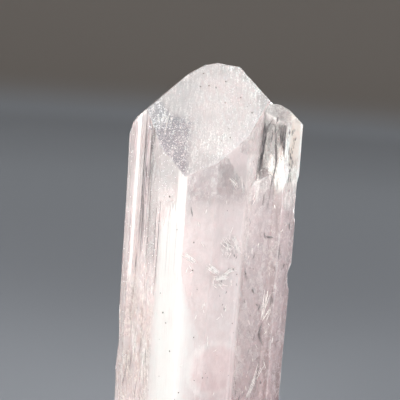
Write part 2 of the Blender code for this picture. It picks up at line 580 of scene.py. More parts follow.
# Painted highlight: the kite is whitened along its right edge, above its lower tip and at its top,
# where its sugar is thicker too.
sugar_and_highlight_edge = kite * (1 - look.under((2.0, 62.4), (7.0, 57.6), 1.2))
sugar_and_highlight_tip = kite * look.patch(0.4, 53.4, 2.4, 1.9, 2.6, tears)
sugar_and_highlight_top = kite * look.patch(2.8, 62.8, 1.6, 1.2, 1.6, tears)
roof_sugar_and_highlight = (sugar_and_highlight_edge + sugar_and_highlight_tip * 0.55 + sugar_and_highlight_top).share()
sugared = kite * (sugar + (slope_streaks - 0.5) * 0.8).rise(0.50, 0.66)
sugared = sugared * (0.5 + (roof_sugar_and_highlight + corner).share() * 0.5)
under_roof = (
    front_prism
    * look.x.rise(-3.4, -2.6)
    * (look.under((2.0, 51.2), (4.6, 47.4), 1.2) + (tears - 0.5) * 1.2).rise(0.3, 0.7)
    * (1 - look.under((-2.8, 46.2), (3.6, 46.0), 1.6))
    * (mottles + (flakes - 0.5) * 0.6).rise(0.12, 0.42)
)
dark_spot = under_roof * look.patch(2.8, 48.4, 1.1, 1.6, 1.4, tears)
beside_roof = front_prism * look.patch(4.6, 54.4, 1.7, 2.2, 1.5, tears)
look.count("the roof")

# %% [markdown]
# The lower crystal at the right edge is a window almost without milk. A smoky band borders it at the
# left and arches over to a dark streak in its middle. Below and beside that the glass turns white, a
# painted highlight runs down its right edge, and its right face has a trace of peach.

# %% The window at the right
window_foot = look.z + (drifts - 0.5) * 6 + (flakes - 0.5) * 5
window = front * look.x.rise(5.8, 6.3) * window_foot.rise(45.0, 49.0)
smoky_glass = (look.streak(6.75, 0.6, 48.6, 55.6, 0.2, 0.06) * 0.8).most(
    look.streak(9.5, 0.34, 52.7, 56.6, 0.1),
    look.patch(7.1, 55.7, 0.9, 0.7, 1.4, tears) * 0.4,
    look.patch(8.1, 53.0, 1.0, 2.0, 1.4, tears) * 0.45,
    look.patch(9.0, 54.9, 0.6, 1.8, 1.0, tears),
)
smoky_glass = (window * smoky_glass * (glass_streaks + 0.35).rise(0.6, 0.85)).share()
# White sheets in the window, and at x 12 a painted highlight down its right edge.
white_glass_and_rim_highlight = look.patch(8.1, 50.2, 0.45, 1.5, 1.4, tears).most(
    look.patch(9.5, 49.3, 0.95, 2.6, 1.6, tears),
    look.streak(10.1, 0.28, 50.5, 56.4, 0.1),
    look.streak(12.0, 0.16, 48.0, 56.6),
)
white_glass_and_rim_highlight = window * white_glass_and_rim_highlight * (glass_streaks + 0.3).rise(0.64, 0.84)
window_cap = window * look.z.rise(56.2, 57.4)
right_face = window * look.x.rise(10.2, 10.5)
peach = front * look.patch(11.2, 54.2, 1.1, 2.6, 1.0, tears)
look.count("the window")

# %% [markdown]
# The rest of the front is milky, and is broken up by small things: a rosy patch, a pale seam, a
# painted shade over the top of the middle faces, and on the right side many flakes and veins, where
# tiny steps in the stone end.

# %% Marks on the middle and the right
rosy = front * look.patch(2.2, 22.4, 3.6, 3.6, 0.7, tears)
pale_seam = front_prism * look.streak(4.5, 0.4, 17, 35, 0.4)
# Painted shade: the top of the middle faces is darkened, most on the left face, which the lamps light
# more.
painted_top_shade = middle * look.z.rise(40, 47) * (0.35 + middle_left * 0.65)
upper_seam = front_prism * look.streak(5.1, 0.45, 38, 52, 0.5)
pale_edge = right_side * look.streak(10.9, 0.9, 44.5, 50.5, 0.4)
rosy_foot = front_prism * look.x.rise(-2.6, -1.4) * (look.z + (mottles - 0.5) * 8).rise(26, 15)
sugar_spot = front_prism * look.patch(3.1, 39.3, 1.4, 1.6, 2.0, tears)
dusky = right_side * (look.z + (drifts - 0.5) * 12).rise(38, 18)
clear_patches = elsewhere * (drifts + (mottles - 0.5) * 0.3).rise(0.54, 0.62)
flaky = right_side + beside_roof + under_roof + sugar_spot + beige_zone + elsewhere * 0.7 + 0.2
flaky = flaky.share() * (1 - kite * 0.8)
pale_veins = (tears - 0.5).size().rise(0.035, 0.005) * mottles.rise(0.44, 0.54)
dark_veins = (tears - 0.54).size().rise(0.03, 0.005) * mottles.rise(0.44, 0.54)
pale_flecks = (flakes + (mottles - 0.5) * 0.5).rise(0.49, 0.62) * 0.6 + pale_veins * 0.8
pale_flecks = (pale_flecks + flecks.rise(0.60, 0.68) * 0.5).share() * flaky
dark_flecks = (tears + (flakes - 0.5) * 0.5).rise(0.49, 0.38) + dark_veins
dark_flecks = dark_flecks.share() * flaky
look.count("the middle and the right")

# %% [markdown]
# Now the masks are added up, first into the veil's thickness, where 0 is clear stone and 1 is
# solid milk. The window has a veil of its own. Then the veil is tinted, like a painting, from the
# large areas to the small marks: each row lays one colour over those before it, where its mask is 1.

# %% How thick the veil is
ribbing = prism * (1 - middle * 0.85) * (1 - right_side * 0.6)
veil = 0.5 + (drifts - 0.5) * 0.4 + (mottles - 0.5) * 0.3 + (side_streaks - 0.5) * 0.4 * ribbing
veil = veil + middle * 0.18 + right_side * 0.08
veil = veil + (slope_streaks - 0.5) * 0.5 * roof + kite * 0.15 + sugared * 0.4
veil = veil * (1 - corner) + corner * (0.5 + corner_haze * 0.2 + sugared * 0.4)
veil = veil + left_line_highlight * 0.6 + stripe * 0.8 + broken * 0.4 + pale_seam * 0.12 + dark_band * 0.15
veil = veil + frosted_band * (grains - 0.45) * 1.2 + pale_flecks * 0.25 + dark_flecks * 0.1
veil = veil * (1 - under_roof * 0.3) * (1 - beside_roof * 0.3) * (1 - clear_patches * 0.7)
glass_veil = 0.32 + (glass_streaks - 0.5) * 1.1 + smoky_glass * 0.4 + white_glass_and_rim_highlight * 0.5
glass_veil = glass_veil + peach * 0.3 + right_face * 0.45 + window_cap * 0.3 + pale_flecks * 0.3
veil = (veil * (1 - window) + glass_veil * window).share()
look.count("the veil")

# %% The veil's colours
WHITE_VEIL = (0.97, 0.96, 0.93)
CREAM_VEIL = (0.82, 0.74, 0.735)
# A darker cream: painted shade for the left middle face.
PAINTED_SHADE_CREAM_VEIL = (0.70, 0.62, 0.615)
PALE_VEIL = (0.70, 0.66, 0.65)
PINK_VEIL = (0.66, 0.575, 0.57)
ROSE_VEIL = (0.80, 0.665, 0.66)
MAUVE_VEIL = (0.49, 0.41, 0.415)
DUSK_VEIL = (0.29, 0.21, 0.215)
BEIGE_VEIL = (0.58, 0.47, 0.43)
KITE_VEIL = (0.62, 0.625, 0.63)
GREY_VEIL = (0.51, 0.505, 0.50)
DULL_VEIL = (0.41, 0.395, 0.395)
STRIPE_VEIL = (0.80, 0.79, 0.775)
SHADE_VEIL = (0.34, 0.31, 0.32)
CORNER_VEIL = (0.305, 0.33, 0.375)
SMOKE_VEIL = (0.10, 0.095, 0.10)
GLASS_VEIL = (0.48, 0.475, 0.465)
PEACH_VEIL = (0.80, 0.73, 0.67)
UNSHADED = (1.0, 1.0, 1.0)
# Painted shade for the top of the middle faces, and a darker, pinker tone for the foot.
TOP_PAINTED_SHADE = (0.65, 0.68, 0.68)
FOOT_SHADING = (0.87, 0.78, 0.79)

# %% Tint the large areas
tint = look.blend((drifts + (mottles - 0.5) * 0.5).rise(0.38, 0.62), PALE_VEIL, PINK_VEIL)
lit_rim = look.x.rise(7.5, 5.5) * look.z.rise(36, 42)
for share, shade in (
    ((middle * 0.9 + elsewhere * 0.5).share(), CREAM_VEIL),
    # painted shade: a darker cream on the left middle face, which the lamps light more
    (middle_left * 0.9, PAINTED_SHADE_CREAM_VEIL),
    (middle * mottles.rise(0.5, 0.62) * 0.4, PINK_VEIL),
    (right_side * (0.9 - lit_rim * 0.4), MAUVE_VEIL),
    (rosy * 0.85, ROSE_VEIL),
    (rosy * (1 - rosy) * 1.6, WHITE_VEIL),
    (kite * 0.85, KITE_VEIL),
    (low_cap * 0.8, GREY_VEIL),
    ((pale_seam * 0.6 + broken * 0.5).share(), CREAM_VEIL),
    (dusky * (0.5 + (mottles - 0.5) * 1.5), DUSK_VEIL),
    (beige_zone * mottles.rise(0.35, 0.6), BEIGE_VEIL),
    (beside_roof * (1.0 + (flecks - 0.5) * 2), DULL_VEIL),
    (pale_frost * 0.75, CREAM_VEIL),
    ((frosted_band + stripe_end).share() * 0.85, GREY_VEIL),
):
    tint = look.blend(share, tint, shade)
# Painted shade darkens the top of the middle faces; the foot is made darker and pinker.
shading = look.blend(painted_top_shade, UNSHADED, TOP_PAINTED_SHADE)
shading = look.blend(rosy_foot, shading, FOOT_SHADING)
tint = look.vector("MULTIPLY", tint, shading)
look.count("the large areas")

# %% Tint the marks
# Under the roof the stone is clearer and darker, and on the left middle face darker still, as painted
# shade where the lamps light it more.
clearing_and_painted_shade = 0.62 + middle_left * 0.3 + (flakes - 0.5) * 1.3 + (flecks - 0.5) * 1.2
# Whitening: real sugar, flecks and seams, and painted highlights on the left edge line, the kite and
# the window's right edge.
whitened = left_line_highlight * 0.75 + white_glass_and_rim_highlight * 0.75 + sugared * 0.85 + roof_sugar_and_highlight * 0.2
whitened = whitened + corner_line + pale_flecks * (0.5 - right_side * 0.25)
whitened = whitened + upper_seam * 0.3 + pale_edge * 0.5
for share, shade in (
    (under_roof * clearing_and_painted_shade + dark_spot * 0.35, SHADE_VEIL),
    (corner * (1 - corner_haze * 0.4), CORNER_VEIL),
    (dark_band * (0.1 + (hair_streaks - 0.5) * 1.5), SHADE_VEIL),
    (dark_flecks * (0.5 - elsewhere * 0.25), SHADE_VEIL),
    (window * (1 - window_cap * 0.6), GLASS_VEIL),
    ((right_face * 0.7 + peach * 0.3).share(), PEACH_VEIL),
    (smoky_glass * 0.9, SMOKE_VEIL),
    (stripe, STRIPE_VEIL),
    (whitened.share(), WHITE_VEIL),
    ((dark_lines * 0.8).share(), SHADE_VEIL),
):
    tint = look.blend(share, tint, shade)
look.count("the marks")

# %% [markdown]
# The finest lines and grains are smaller than the mesh can carry, so a Bump node presses them into
# the shading only. Clear stone soaks up a trace of blue and green on the way through, which a Volume
# Absorption shader gives: a small density and a pale pink colour, as plain values.

# %% Put the skin together
REFRACTION = 1.63
ABSORBED_PER_METRE = 9.0
LET_THROUGH = (1.0, 0.86, 0.87)
CLEAR = (0.985, 0.972, 0.972)
GLOW = {
    "Subsurface_Weight": 1.0,
    "Subsurface_Radius": (1.0, 0.86, 0.86),
    "Subsurface_Scale": 3.5 * MM,
}
relief = side_streaks * ribbing + slope_streaks * roof * 0.5 + hair_streaks * ribbing * 0.3
relief = relief + grains * (0.1 + (corner + frosted_band + broken).share() * 0.35)
relief = relief + flakes * flaky * 0.6
dents = look.bump(relief, 0.07)
gloss = 0.06 + corner * 0.15 + broken * 0.3 + (grains - 0.45).most(0.0) * 0.4
clear_stone = look.principled(
    Base_Color=CLEAR,
    Roughness=gloss,
    IOR=REFRACTION,
    Transmission_Weight=1.0,
    Normal=dents,
)
milky_stone = look.principled(
    Base_Color=tint, Roughness=0.2, IOR=REFRACTION, Normal=dents, **GLOW
)
shader = look.let_lamps_through(look.mix_shaders(veil, clear_stone, milky_stone))
absorption = look.node(
    "ShaderNodeVolumeAbsorption",
    {},
    {"Color": LET_THROUGH, "Density": ABSORBED_PER_METRE},
)
cover(skin, look.finish(shader, absorption))

# %% [markdown]
# ## The milky heart
#
# Most of the milk in this crystal is not on its surface but inside, as a cloud of tiny bubbles. We
# copy the solid again, remesh it so that its corners go soft, and shrink it until it floats inside
# the skin. Noise then pulls it in further here and there, so that it billows like a real cloud.

# %% Shape the heart
HEART_GRAIN = 0.7 * MM
HEART_DEPTH = 1.3 * MM
BILLOW_DEPTH = 1.4 * MM
BILLOW_SIZE = 5 * MM
modifier(heart, "REMESH", mode="VOXEL", voxel_size=HEART_GRAIN)
modifier(heart, "DISPLACE", strength=-HEART_DEPTH, mid_level=0.0)
modifier(heart, "REMESH", mode="VOXEL", voxel_size=HEART_GRAIN)
billows = bpy.data.textures.new("billows", "CLOUDS")
billows.noise_scale = BILLOW_SIZE
modifier(heart, "DISPLACE", texture=billows, strength=-BILLOW_DEPTH, mid_level=0.0)
modifier(heart, "SMOOTH", iterations=3)
bpy.ops.object.shade_smooth()
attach(heart, "root")
print("the heart has", len(heart.data.polygons), "faces")

# %% [markdown]
# The heart is thick where its noise is high and gone where it is low, which its Alpha says. It is
# also missing from three places where the photograph looks straight into clear stone: the window at
# the right, the clear corner at the left of the roof, and the dark patch under the roof.

# %% The heart's finish
PALE_MILK = (0.76, 0.71, 0.705)
PINK_MILK = (0.70, 0.615, 0.61)
DULL_MILK = (0.48, 0.41, 0.42)
core = Stone("milky_heart")
billow = core.clouds(core.stretched(1, 1, 0.6), 0.22, 4, 0.6)
wisps = core.clouds(core.stretched(1, 1, 0.25), 0.9, 4, 0.6)
core_tears = core.clouds(core.place, 1.1, 4, 0.65)
thick = 0.8 + (billow - 0.5) * 1.6 + (wisps - 0.5) * 0.8
right_window = core.x.rise(5.2, 6.4) * core.z.rise(43.0, 47.5)
left_corner = core.x.rise(-0.8, -4.5) * core.z.rise(45.0, 50.0)
dark_patch = core.patch(0.6, 48.0, 4.4, 3.0, 1.5, core_tears)
thick = thick * (1 - right_window) * (1 - left_corner * 0.9) * (1 - dark_patch * 0.8)
milk = core.blend(billow.rise(0.35, 0.65), PALE_MILK, PINK_MILK)
milk = core.blend(core.x.rise(4.0, 7.0) * 0.8, milk, DULL_MILK)
heart_shader = core.principled(Base_Color=milk, Roughness=0.6, Alpha=thick.share(), **GLOW)
cover(heart, core.finish(heart_shader))

# %% [markdown]
# ## Threads sealed in the stone
#
# Cracks, feathers and hollow tubes are caught inside every natural crystal. Seen through the window
# they are the dark and white lines of the photograph. Each is a curve with a few given points and a
# radius that tapers to nothing. We draw the threads on a flat sheet in front of one side, turn them
# into meshes, squeeze them flat like real cracks, and drop each point straight onto that side, to lie
# in its surface or just below it.

# %% Find the crystal's surface from any side
FAR_AWAY = 60
UP = Vector((0, 0, 1))
FRONT = (Vector((0, 1, 0)), Vector((1, 0, 0)))
BACK = (Vector((0, -1, 0)), Vector((1, 0, 0)))
LEFT = (Vector((1, 0, 0)), Vector((0, 1, 0)))
RIGHT = (Vector((-1, 0, 0)), Vector((0, 1, 0)))


def surface_at(side, across, height):
    """The place in millimetres where the surface lies, seen from a side, and which way it faces."""
    inwards, sideways = side
    start = sideways * across + UP * height - inwards * FAR_AWAY
    found, place, normal, face = skin.ray_cast(start * MM, inwards)
    return (place / MM if found else None), normal


print("above the kite's tip the front lies at", surface_at(FRONT, -3, 52)[0])

# %% Draw threads and sink them
END_HALF_WIDTH = 0.02
FLATNESS = 0.35


def sink(piece, side, depth):
    """Drop each point of a flat drawing onto the crystal, this far below its surface."""
    inwards, sideways = side
    for point in piece.data.vertices:
        drawn = point.co / MM
        surface, normal = surface_at(side, drawn.dot(sideways), drawn.z)
        if surface is not None:
            thickness = drawn.dot(inwards) * FLATNESS
            target = surface.dot(inwards) + depth + thickness
            point.co += inwards * (target - drawn.dot(inwards)) * MM


def sealed_threads(name, side, depth, paths):
    """Threads at this depth. Each path is a list of places: across, height and half width."""
    bpy.ops.object.select_all(action="DESELECT")
    bpy.ops.object.add(type="CURVE")
    lines = bpy.context.object.data
    lines.dimensions = "3D"
    lines.bevel_depth = MM
    lines.bevel_resolution = 1
    lines.resolution_u = 5
    lines.use_fill_caps = True
    for path in paths:
        line = lines.splines.new("NURBS")
        line.points.add(len(path) - 1)
        line.order_u = 3
        line.use_endpoint_u = True
        for point, (across, height, half_width) in zip(line.points, path):
            point.co = (*(side[1] * across + UP * height) * MM, 1)
            point.radius = half_width
    bpy.ops.object.convert(target="MESH")
    piece = bpy.context.object
    piece.name = name
    sink(piece, side, depth)
    bpy.ops.object.mode_set(mode="EDIT")
    bpy.ops.mesh.select_all(action="SELECT")
    bpy.ops.mesh.remove_doubles(threshold=JOIN_DISTANCE / 2)
    bpy.ops.mesh.normals_make_consistent(inside=False)
    bpy.ops.object.mode_set(mode="OBJECT")
    bpy.ops.object.shade_smooth()
    print(name, "has", len(paths), "threads and", len(piece.data.polygons), "faces")
    return piece


def sealed_together(name, bundles):
    """Bundles of threads as one piece, riding with the crystal."""
    pieces = [sealed_threads(*bundle) for bundle in bundles]
    take(pieces[0])
    for piece in pieces[1:]:
        piece.select_set(True)
    bpy.ops.object.join()
    piece = bpy.context.object
    piece.name = piece.data.name = name
    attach(piece, "root")
    return piece


# %% [markdown]
# Threads come in three shapes: a single one that is nearly upright, a fan of them from around one
# place to around another, and strays at random places. The random numbers come from one seed, so that
# every run draws the same threads.

# %% The shapes that threads take
def tapered(across, top, bottom, half_width, drift=0.0):
    """A nearly upright thread that is widest in its middle."""
    return [
        (across, top, END_HALF_WIDTH),
        (across + drift * 0.2, top * 0.7 + bottom * 0.3, half_width),
        (across + drift * 0.6, top * 0.3 + bottom * 0.7, half_width),
        (across + drift, bottom, END_HALF_WIDTH),
    ]


def fan(luck, start, end, count, spread, half_widths):
    """A bundle of tapered threads from around one place to around another."""
    threads = []
    for number in range(count):
        first = [place + luck.uniform(-spread, spread) for place in start]
        last = [place + luck.uniform(-spread, spread) for place in end]
        bend = luck.uniform(-spread, spread) / 2
        middle = ((first[0] + last[0]) / 2, (first[1] + last[1]) / 2 + bend)
        threads.append(
            [
                (*first, END_HALF_WIDTH),
                (*middle, luck.uniform(*half_widths)),
                (*last, END_HALF_WIDTH),
            ]
        )
    return threads


def fans(luck, bundles):
    """The threads of several such bundles."""
    return [thread for bundle in bundles for thread in fan(luck, *bundle)]


def stray_threads(luck, count, across, height, lengths, half_widths, lean):
    """Random tapered threads between these limits."""
    threads = []
    for number in range(count):
        top = luck.uniform(*height)
        bottom = top - luck.uniform(*lengths)
        drift = luck.uniform(-lean, lean)
        threads.append(tapered(luck.uniform(*across), top, bottom, luck.uniform(*half_widths), drift))
    return threads


SEED = 5
luck = random.Random(SEED)
print("threads and grains are drawn with seed", SEED)

# %% [markdown]
# The darkest threads are in the window: a broad smoky band at its left, a few short streaks, and one
# long crack that curves down into the milk. Small pits line its right face, and thin dark lines run
# down the ribs at the left. Threads at random places give the back and the sides cracks as well.

# %% Dark threads in the window
WINDOW_CRACKS = [
    [
        (7.9, 57.0, 0.03),
        (7.2, 56.0, 0.08),
        (6.75, 54.0, 0.17),
        (6.65, 52.3, 0.16),
        (6.6, 50.6, 0.12),
        (6.5, 48.6, 0.03),
    ],
    [
        (8.25, 56.0, 0.03),
        (8.3, 55.0, 0.13),
        (8.4, 53.8, 0.14),
        (8.5, 52.6, 0.18),
        (8.7, 51.4, 0.12),
        (8.65, 50.0, 0.11),
        (8.35, 48.8, 0.10),
        (8.2, 47.4, 0.06),
        (8.0, 44.5, 0.02),
    ],
    [(9.0, 56.3, 0.03), (9.05, 55.3, 0.20), (9.15, 54.2, 0.24), (9.1, 53.5, 0.03)],
    [(9.6, 56.4, 0.03), (9.5, 55.2, 0.17), (9.45, 54.2, 0.22), (9.6, 52.8, 0.09), (9.65, 51.8, 0.02)],
    tapered(8.5, 57.4, 56.4, 0.14, -0.2),
    tapered(7.9, 55.4, 53.6, 0.08, -0.1),
    tapered(7.35, 46.6, 44.8, 0.10, -0.1),
]
FINE_CRACKS = (
    ((7.0, 56.0), (6.6, 50.2), 9, 0.3, (0.03, 0.08)),
    ((9.5, 56.0), (9.6, 53.0), 7, 0.3, (0.03, 0.06)),
)
WINDOW_CRACKS += fans(luck, FINE_CRACKS)
WINDOW_PITS = [
    tapered(10.2, 55.7, 54.9, 0.11),
    tapered(10.6, 55.6, 54.8, 0.06),
    tapered(10.55, 52.4, 51.4, 0.10, 0.1),
    tapered(10.6, 51.0, 50.6, 0.10),
    tapered(10.7, 50.3, 49.6, 0.12),
    tapered(10.6, 49.4, 47.8, 0.08, -0.1),
    tapered(10.85, 48.9, 48.3, 0.07),
    tapered(10.8, 47.3, 46.9, 0.10),
]
WINDOW_PITS += stray_threads(luck, 26, (10.3, 11.2), (47, 56), (0.2, 0.7), (0.03, 0.07), 0.1)
print("the window has", len(WINDOW_CRACKS), "cracks and", len(WINDOW_PITS), "pits")

# %% Dark threads in the milk and between the ribs
LOW_CRACKS = [
    [(8.45, 28.2, 0.03), (8.2, 27.2, 0.13), (8.15, 26.4, 0.2), (8.5, 25.6, 0.1), (8.9, 24.9, 0.02)],
    [(8.0, 40.6, 0.02), (8.4, 40.35, 0.2), (8.9, 40.5, 0.14), (9.3, 40.3, 0.02)],
    tapered(11.3, 42.6, 41.4, 0.09),
    tapered(10.1, 39.8, 37.2, 0.10, -0.1),
    tapered(8.5, 24.0, 17.5, 0.06, -0.4),
    tapered(9.6, 33.5, 30.0, 0.06, -0.3),
    tapered(5.5, 36.0, 34.6, 0.10, 0.1),
    tapered(6.7, 33.2, 32.4, 0.12, 0.3),
    tapered(-2.6, 44.9, 43.6, 0.10, 0.3),
]
RIB_LINES = [
    tapered(-9.6, 57.0, 41.0, 0.06),
    tapered(-9.4, 56.5, 37.0, 0.07, 0.1),
    tapered(-8.75, 57.0, 44.0, 0.05, 0.1),
    tapered(-8.4, 56.0, 39.0, 0.04, 0.1),
    tapered(-7.3, 44.0, 35.0, 0.04, 0.1),
    tapered(-6.8, 45.0, 32.0, 0.05, -0.1),
]
STRAY_LINES = (
    (24, (-9.9, -8.2), (40, 56), (1.5, 5), (0.02, 0.05), 0.1),
    (12, (-10.8, -7.2), (18, 38), (0.8, 3), (0.03, 0.06), 0.3),
    (26, (5.2, 11.2), (17, 46), (0.3, 1.2), (0.04, 0.10), 0.3),
    (10, (2.0, 4.6), (30, 41), (0.2, 0.6), (0.04, 0.08), 0.2),
)
for limits in STRAY_LINES:
    RIB_LINES += stray_threads(luck, *limits)
print("there are", len(RIB_LINES), "thin dark lines")

# %% Seal the dark threads in
back_cracks = stray_threads(luck, 40, (-8, 9), (8, 56), (1.5, 6), (0.03, 0.12), 0.4)
left_cracks = stray_threads(luck, 20, (-4, 8), (6, 54), (1.5, 6), (0.03, 0.09), 0.3)
right_cracks = stray_threads(luck, 24, (-2, 8), (6, 52), (1.5, 6), (0.03, 0.09), 0.3)
dark_cracks = sealed_together(
    "dark_cracks",
    (
        ("window_cracks", FRONT, 0.0, WINDOW_CRACKS + WINDOW_PITS),
        ("low_cracks", FRONT, 0.0, LOW_CRACKS),
        ("rib_lines", FRONT, 0.0, RIB_LINES),
        ("back_cracks", BACK, 0.1, back_cracks),
        ("left_cracks", LEFT, 0.05, left_cracks),
        ("right_cracks", RIGHT, 0.05, right_cracks),
    ),
)
SOOT = (0.06, 0.055, 0.06)
ASH = (0.24, 0.22, 0.225)
smoky = Stone("smoky_crack")
smoke = smoky.clouds(smoky.stretched(1, 1, 0.35), 3.0, 4, 0.65)
soot = smoky.blend(smoke.rise(0.35, 0.65), SOOT, ASH)
ragged = smoke.rise(0.28, 0.52) * 0.9
dark_glass = smoky.principled(Base_Color=soot, Roughness=0.3, Alpha=ragged)
cover(dark_cracks, smoky.finish(dark_glass))

# %% [markdown]
# Feathers are tiny fans of bubbles that heal a crack. They are white, because each bubble sends all
# light back. We add the white sheets that stand in the window, the feathers of the milky middle, and
# a few at random on every side.

# %% White threads in the window
WINDOW_SHEETS = (
    ((8.1, 52.2), (8.1, 48.8), 6, 0.25, (0.08, 0.16)),
    ((9.2, 52.8), (9.6, 47.2), 9, 0.45, (0.06, 0.14)),
    ((10.1, 56.2), (10.1, 51.0), 5, 0.15, (0.05, 0.12)),
    ((8.65, 55.8), (8.75, 52.6), 3, 0.08, (0.05, 0.08)),
    ((7.4, 55.2), (7.1, 51.0), 5, 0.2, (0.03, 0.06)),
    ((6.1, 49.5), (6.2, 45.0), 5, 0.4, (0.04, 0.08)),
    ((11.9, 56.2), (11.85, 48.5), 2, 0.05, (0.05, 0.07)),
)
window_sheets = fans(luck, WINDOW_SHEETS)
print("the window has", len(window_sheets), "white threads")

# %% White feathers in the milk
FEATHERS = (
    ((-3.1, 38.5), (-1.5, 37.4), 9, 0.3, (0.05, 0.11)),
    ((0.3, 36.9), (1.6, 35.7), 12, 0.35, (0.05, 0.12)),
    ((1.3, 35.1), (2.9, 35.2), 12, 0.4, (0.05, 0.11)),
    ((2.7, 35.3), (3.9, 36.2), 9, 0.35, (0.05, 0.10)),
    ((1.6, 34.5), (2.8, 33.7), 6, 0.4, (0.03, 0.07)),
    ((2.2, 40.3), (3.4, 38.9), 10, 0.6, (0.03, 0.07)),
    ((3.6, 40.5), (4.4, 38.6), 7, 0.5, (0.03, 0.07)),
    ((2.5, 48.7), (3.2, 47.6), 6, 0.4, (0.04, 0.07)),
    ((3.9, 48.9), (4.3, 46.8), 3, 0.2, (0.04, 0.06)),
    ((8.9, 32.6), (8.6, 28.8), 6, 0.45, (0.03, 0.07)),
    ((9.3, 30.4), (8.8, 28.6), 4, 0.3, (0.03, 0.06)),
    ((8.6, 22.0), (7.4, 17.6), 5, 0.6, (0.03, 0.06)),
    ((-9.3, 27.0), (-8.9, 22.0), 5, 0.5, (0.04, 0.09)),
    ((-8.0, 26.0), (-7.4, 19.5), 6, 0.6, (0.04, 0.10)),
)
front_feathers = fans(luck, FEATHERS)
stray_feathers = stray_threads(luck, 30, (-2.5, 4.6), (18, 46), (0.3, 1.0), (0.03, 0.07), 0.5)
stray_feathers += stray_threads(luck, 20, (4.8, 11.2), (17, 47), (0.3, 1.0), (0.03, 0.07), 0.4)
back_feathers = stray_threads(luck, 50, (-8, 9), (8, 58), (0.8, 4), (0.04, 0.10), 0.9)
left_feathers = stray_threads(luck, 20, (-4, 8), (6, 54), (0.8, 4), (0.04, 0.08), 0.6)
right_feathers = stray_threads(luck, 24, (-2, 8), (6, 52), (0.8, 4), (0.04, 0.08), 0.6)
print("the front has", len(front_feathers) + len(stray_feathers), "feathery threads")

# %% Seal the white threads in
white_feathers = sealed_together(
    "white_feathers",
    (
        ("window_sheets", FRONT, 0.03, window_sheets),
        ("front_feathers", FRONT, 0.0, front_feathers),
        ("stray_feathers", FRONT, 0.0, stray_feathers),
        ("back_feathers", BACK, 0.05, back_feathers),
        ("left_feathers", LEFT, 0.05, left_feathers),
        ("right_feathers", RIGHT, 0.05, right_feathers),
    ),
)
BUBBLE_WHITE = (0.95, 0.94, 0.90)
BUBBLE_PINK = (0.93, 0.87, 0.85)
feathery = Stone("healed_crack")
bubbles = feathery.clouds(feathery.stretched(1, 1, 0.4), 4.0, 4, 0.7)
bubbly = feathery.blend(bubbles.rise(0.4, 0.6), BUBBLE_WHITE, BUBBLE_PINK)
torn = bubbles.rise(0.28, 0.50) * 0.95
white_sheet = feathery.principled(Base_Color=bubbly, Roughness=0.5, Alpha=torn)
cover(white_feathers, feathery.finish(white_sheet))

# %% [markdown]
# ## Grains on the surface
#
# Two kinds of grain sit in the surface. White ones are frost: places where growth started again and
# stopped. They crowd in the clear corner and down the frosted band. Black ones are specks of another
# mineral, each smaller than a pin prick. Every grain is a small icosphere, all added in edit mode to
# the same mesh, half sunk, and then shaken out of shape by a random move of its points.

# %% Scatter grains and roughen them
GRAIN_SHAKE = 0.03 * MM


def grains_in_surface(name, spots):
    """Rough grains half sunk in the surface at these spots: x, y, height and radius."""
    bpy.ops.object.select_all(action="DESELECT")
    piece = None
    for x, y, z, radius in spots:
        bpy.ops.mesh.primitive_ico_sphere_add(
            subdivisions=1, radius=radius * MM, location=Vector((x, y, z)) * MM
        )
        if piece is None:
            piece = bpy.context.object
            bpy.ops.object.mode_set(mode="EDIT")
    bpy.ops.mesh.select_all(action="SELECT")
    bpy.ops.transform.vertex_random(offset=GRAIN_SHAKE, seed=3)
    bpy.ops.object.mode_set(mode="OBJECT")
    piece.name = name
    bpy.ops.object.transform_apply(location=True, rotation=True, scale=True)
    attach(piece, "root")
    print(name, "has", len(spots), "grains and", len(piece.data.polygons), "faces")
    return piece


def scattered(luck, side, count, across_range, height_range, radii, wanted):
    """This many random spots, seen from a side, where the test of place and normal passes."""
    spots = []
    while len(spots) < count:
        surface, normal = surface_at(side, luck.uniform(*across_range), luck.uniform(*height_range))
        if surface is not None and wanted(surface, normal):
            spots.append((*surface, luck.uniform(*radii)))
    return spots


# %% White frost
def in_corner(place, normal):
    """Whether this is on the roof and below the two lines that border the clear corner."""
    edge = max(55.9 - 0.27 * (place.x + 3.6), 56.6 - 0.9 * (place.x + 6.2))
    return normal.z > 0.5 and place.z < edge and place.x < -3.7


def on_roof(place, normal):
    return normal.z > 0.5


def on_side(place, normal):
    return abs(normal.z) < 0.3


FROSTED_AREAS = (
    (FRONT, 260, (-9.5, -3.7), (49, 58.6), (0.02, 0.07), in_corner),
    (FRONT, 50, (-9.4, -7.2), (54.5, 58.5), (0.05, 0.10), in_corner),
    (FRONT, 110, (-9.0, -6.8), (32, 57), (0.03, 0.07), on_side),
    (FRONT, 70, (-7.2, -5.0), (45, 53), (0.03, 0.08), on_side),
    (FRONT, 90, (-3, 3.5), (50, 56), (0.03, 0.08), on_roof),
    (FRONT, 120, (1.5, 7), (56, 63), (0.03, 0.08), on_roof),
    (FRONT, 120, (-6, 7), (50, 63), (0.03, 0.07), on_roof),
    (BACK, 160, (-8, 8), (52, 63), (0.03, 0.09), on_roof),
    (BACK, 120, (-6, -3), (14, 50), (0.03, 0.09), on_side),
    (LEFT, 80, (-2, 3), (20, 56), (0.03, 0.08), on_side),
    (RIGHT, 80, (0, 4), (12, 50), (0.03, 0.08), on_side),
)
frost_spots = [spot for area in FROSTED_AREAS for spot in scattered(luck, *area)]
frost_grains = grains_in_surface("frost_grains", frost_spots)
ICE_WHITE = (0.98, 0.98, 1.0)
ICE_GREY = (0.90, 0.91, 0.95)
frost = Stone("frost")
sparkle = frost.clouds(frost.place, 6.0, 2)
frost_white = frost.blend(sparkle, ICE_WHITE, ICE_GREY)
cover(frost_grains, frost.finish(frost.principled(Base_Color=frost_white, Roughness=0.25)))

